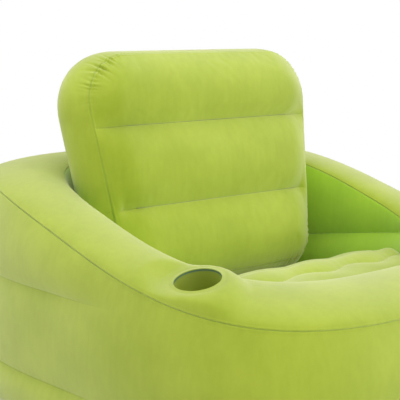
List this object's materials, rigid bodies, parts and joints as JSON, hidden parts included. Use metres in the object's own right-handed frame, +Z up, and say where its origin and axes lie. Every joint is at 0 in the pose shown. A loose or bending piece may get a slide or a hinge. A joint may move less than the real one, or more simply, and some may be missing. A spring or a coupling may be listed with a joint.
{
  "type": "inflatable armchair",
  "caption": "Inflatable armchair with a low-fronted round tub, a ribbed seat, a separate quilted backrest cushion, plugged air valves and a cup holder sunk in an arm.",
  "frame": {"origin": "on the floor under the middle of the tub's plan", "axes": "+X to the sitter's left, +Y to the back of the chair, +Z up"},
  "size_m": [1.037, 1.079, 0.747],
  "materials": {
    "flocked_sheet": "plastic film with a short velvety flock, matte, with a soft sheen at grazing angles",
    "plain_sheet": "smooth bare plastic film",
    "valve_plastic": "soft moulded plastic"
  },
  "bodies": {
    "tub": {"base_panel": "plain_sheet", "outer_wall": "flocked_sheet", "inner_wall": "flocked_sheet", "rim_panel": "flocked_sheet", "seat_panel": "flocked_sheet", "seat_beam_1": "plain_sheet", "seat_beam_2": "plain_sheet", "seat_beam_3": "plain_sheet", "seat_beam_4": "plain_sheet", "wall_tie_upper": "plain_sheet", "wall_tie_lower": "plain_sheet", "cup_ring": "flocked_sheet", "cup_side": "plain_sheet", "cup_floor": "plain_sheet", "hinge_leaf_lower": "plain_sheet", "tub_valve_body": "valve_plastic"},
    "backrest": {"hinge_leaf_upper": "plain_sheet", "backrest_front_panel": "flocked_sheet", "backrest_rear_panel": "flocked_sheet", "backrest_gusset": "flocked_sheet", "backrest_web_lower": "plain_sheet", "backrest_web_upper": "plain_sheet", "backrest_valve_body": "valve_plastic"},
    "tub_valve_plug": {"tub_valve_plug": "valve_plastic"},
    "tub_valve_cap": {"tub_valve_cap": "valve_plastic"},
    "tub_valve_flap": {"tub_valve_flap": "valve_plastic"},
    "backrest_valve_plug": {"backrest_valve_plug": "valve_plastic"},
    "backrest_valve_cap": {"backrest_valve_cap": "valve_plastic"},
    "backrest_valve_flap": {"backrest_valve_flap": "valve_plastic"}
  },
  "joints": [
    {"name": "backrest_fold", "type": "hinge", "parent": "tub", "child": "backrest", "pos_m": [0, 0.06, 0.23971], "axis": [1, 0, 0], "range_deg": [0, 30]},
    {"name": "tub_valve_plug_swing", "type": "hinge", "parent": "tub", "child": "tub_valve_plug", "pos_m": [0, 0.5398, 0.227], "axis": [1, 0, 0], "range_deg": [0, 110]},
    {"name": "tub_valve_cap_swing", "type": "hinge", "parent": "tub_valve_plug", "child": "tub_valve_cap", "pos_m": [0.0105, 0.5421, 0.21], "axis": [0, 0, -1], "range_deg": [0, 110]},
    {"name": "tub_valve_flap_swing", "type": "hinge", "parent": "tub_valve_plug", "child": "tub_valve_flap", "pos_m": [0, 0.5345, 0.2162], "axis": [-1, 0, 0], "range_deg": [0, 40]},
    {"name": "backrest_valve_plug_swing", "type": "hinge", "parent": "backrest", "child": "backrest_valve_plug", "pos_m": [-0.15, 0.22851, 0.33623], "axis": [1, 0, 0], "range_deg": [0, 110]},
    {"name": "backrest_valve_cap_swing", "type": "hinge", "parent": "backrest_valve_plug", "child": "backrest_valve_cap", "pos_m": [-0.1395, 0.22753, 0.3191], "axis": [0, -0.1901, -0.9818], "range_deg": [0, 110]},
    {"name": "backrest_valve_flap_swing", "type": "hinge", "parent": "backrest_valve_plug", "child": "backrest_valve_flap", "pos_m": [-0.15, 0.22125, 0.32664], "axis": [-1, 0, 0], "range_deg": [0, 40]}
  ]
}
